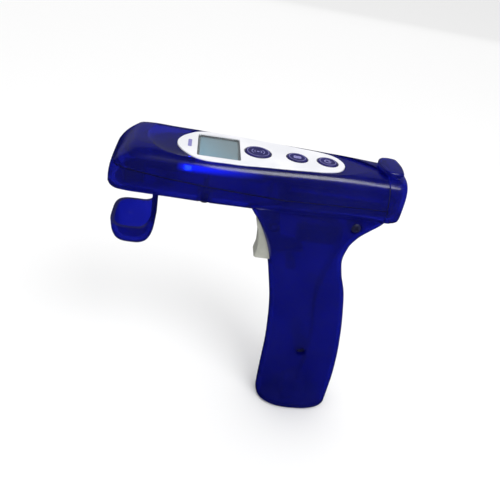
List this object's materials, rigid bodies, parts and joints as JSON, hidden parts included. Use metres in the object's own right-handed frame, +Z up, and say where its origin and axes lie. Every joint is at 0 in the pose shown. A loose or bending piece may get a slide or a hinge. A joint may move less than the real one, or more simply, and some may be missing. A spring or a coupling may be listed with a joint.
{
  "type": "microchip scanner",
  "caption": "Hand-held microchip reader with a pistol grip, finger trigger, small display, round keys and a tray under the nose.",
  "frame": {"origin": "centre of the grip's flat base", "axes": "+Z up along the height to the control panel, -X towards the nose, +Y to the right of a user who looks along the nose"},
  "size_m": [0.1349, 0.04, 0.1562],
  "materials": {
    "blue_plastic": "clear blue polycarbonate, glossy",
    "white_panel": "satin white overlay",
    "clear_window": "clear polished window",
    "lcd_panel": "grey-green liquid crystal glass",
    "light_guide": "milky light guide",
    "indigo_key": "satin moulded key",
    "black_plastic": "black moulded plastic",
    "circuit_board": "green solder mask",
    "grey_trigger": "satin light grey plastic",
    "steel": "zinc plated steel",
    "ferrite": "sintered ferrite",
    "copper_coil": "enamelled copper wire",
    "cell_sleeve": "printed metal sleeve, with no print",
    "blue_led": "clear lens, lit blue",
    "red_insulation": "satin wire insulation",
    "black_insulation": "satin wire insulation"
  },
  "bodies": {
    "housing": {"upper_shell": "blue_plastic", "lower_shell": "blue_plastic", "left_grip_shell": "blue_plastic", "right_grip_shell": "blue_plastic", "reading_tray": "blue_plastic", "control_panel": "white_panel", "display_window": "clear_window", "lcd_glass": "lcd_panel", "lcd_backlight": "light_guide", "read_key_switch": "black_plastic", "menu_key_switch": "black_plastic", "power_key_switch": "black_plastic", "main_board": "circuit_board", "controller_chip": "black_plastic", "reader_chip": "black_plastic", "beeper": "black_plastic", "status_led": "blue_led", "board_screw_front": "steel", "board_screw_rear": "steel", "antenna_former": "black_plastic", "antenna_coil": "copper_coil", "antenna_ferrite": "ferrite", "battery_carrier": "black_plastic", "front_contact": "steel", "battery_left": "cell_sleeve", "battery_right": "cell_sleeve", "port_socket": "steel", "red_wire": "red_insulation", "black_wire": "black_insulation", "grip_screw_upper": "steel", "grip_screw_lower": "steel", "nose_screw_left": "steel", "nose_screw_right": "steel", "tray_screw_left": "steel", "tray_screw_right": "steel", "trigger_pin": "steel", "trigger_spring": "steel", "trigger_switch": "black_plastic", "cover_hinge_pin": "steel"},
    "trigger": {"trigger": "grey_trigger"},
    "switch_plunger": {"switch_plunger": "red_insulation"},
    "read_key": {"read_key": "indigo_key"},
    "menu_key": {"menu_key": "indigo_key"},
    "power_key": {"power_key": "indigo_key"},
    "rear_cover": {"rear_cover": "blue_plastic", "cover_contact": "steel"}
  },
  "joints": [
    {"name": "trigger_pull", "type": "hinge", "parent": "housing", "child": "trigger", "pos_m": [-0.0335, 0, 0.1205], "axis": [0, -1, 0], "range_deg": [0, 7], "stiffness_Nm_per_rad": 0.4, "springref_deg": -5.73, "deforming": ["trigger_spring"]},
    {"name": "plunger_slide", "type": "slide", "parent": "housing", "child": "switch_plunger", "axis": [0, 0, 1], "range_m": [0, 0.0022]},
    {"name": "read_key_press", "type": "slide", "parent": "housing", "child": "read_key", "axis": [0, 0, -1], "range_m": [0, 0.0005], "stiffness_N_per_m": 2000, "springref_m": -0.0005},
    {"name": "menu_key_press", "type": "slide", "parent": "housing", "child": "menu_key", "axis": [0, 0, -1], "range_m": [0, 0.0005], "stiffness_N_per_m": 2000, "springref_m": -0.0005},
    {"name": "power_key_press", "type": "slide", "parent": "housing", "child": "power_key", "axis": [0, 0, -1], "range_m": [0, 0.0005], "stiffness_N_per_m": 2000, "springref_m": -0.0005},
    {"name": "rear_cover_hinge", "type": "hinge", "parent": "housing", "child": "rear_cover", "pos_m": [0.021, 0, 0.1314], "axis": [0, 1, 0], "range_deg": [0, 85]}
  ],
  "couplings": [
    {"joint": "plunger_slide", "follows": "trigger_pull", "m_per_rad": 0.0165}
  ]
}
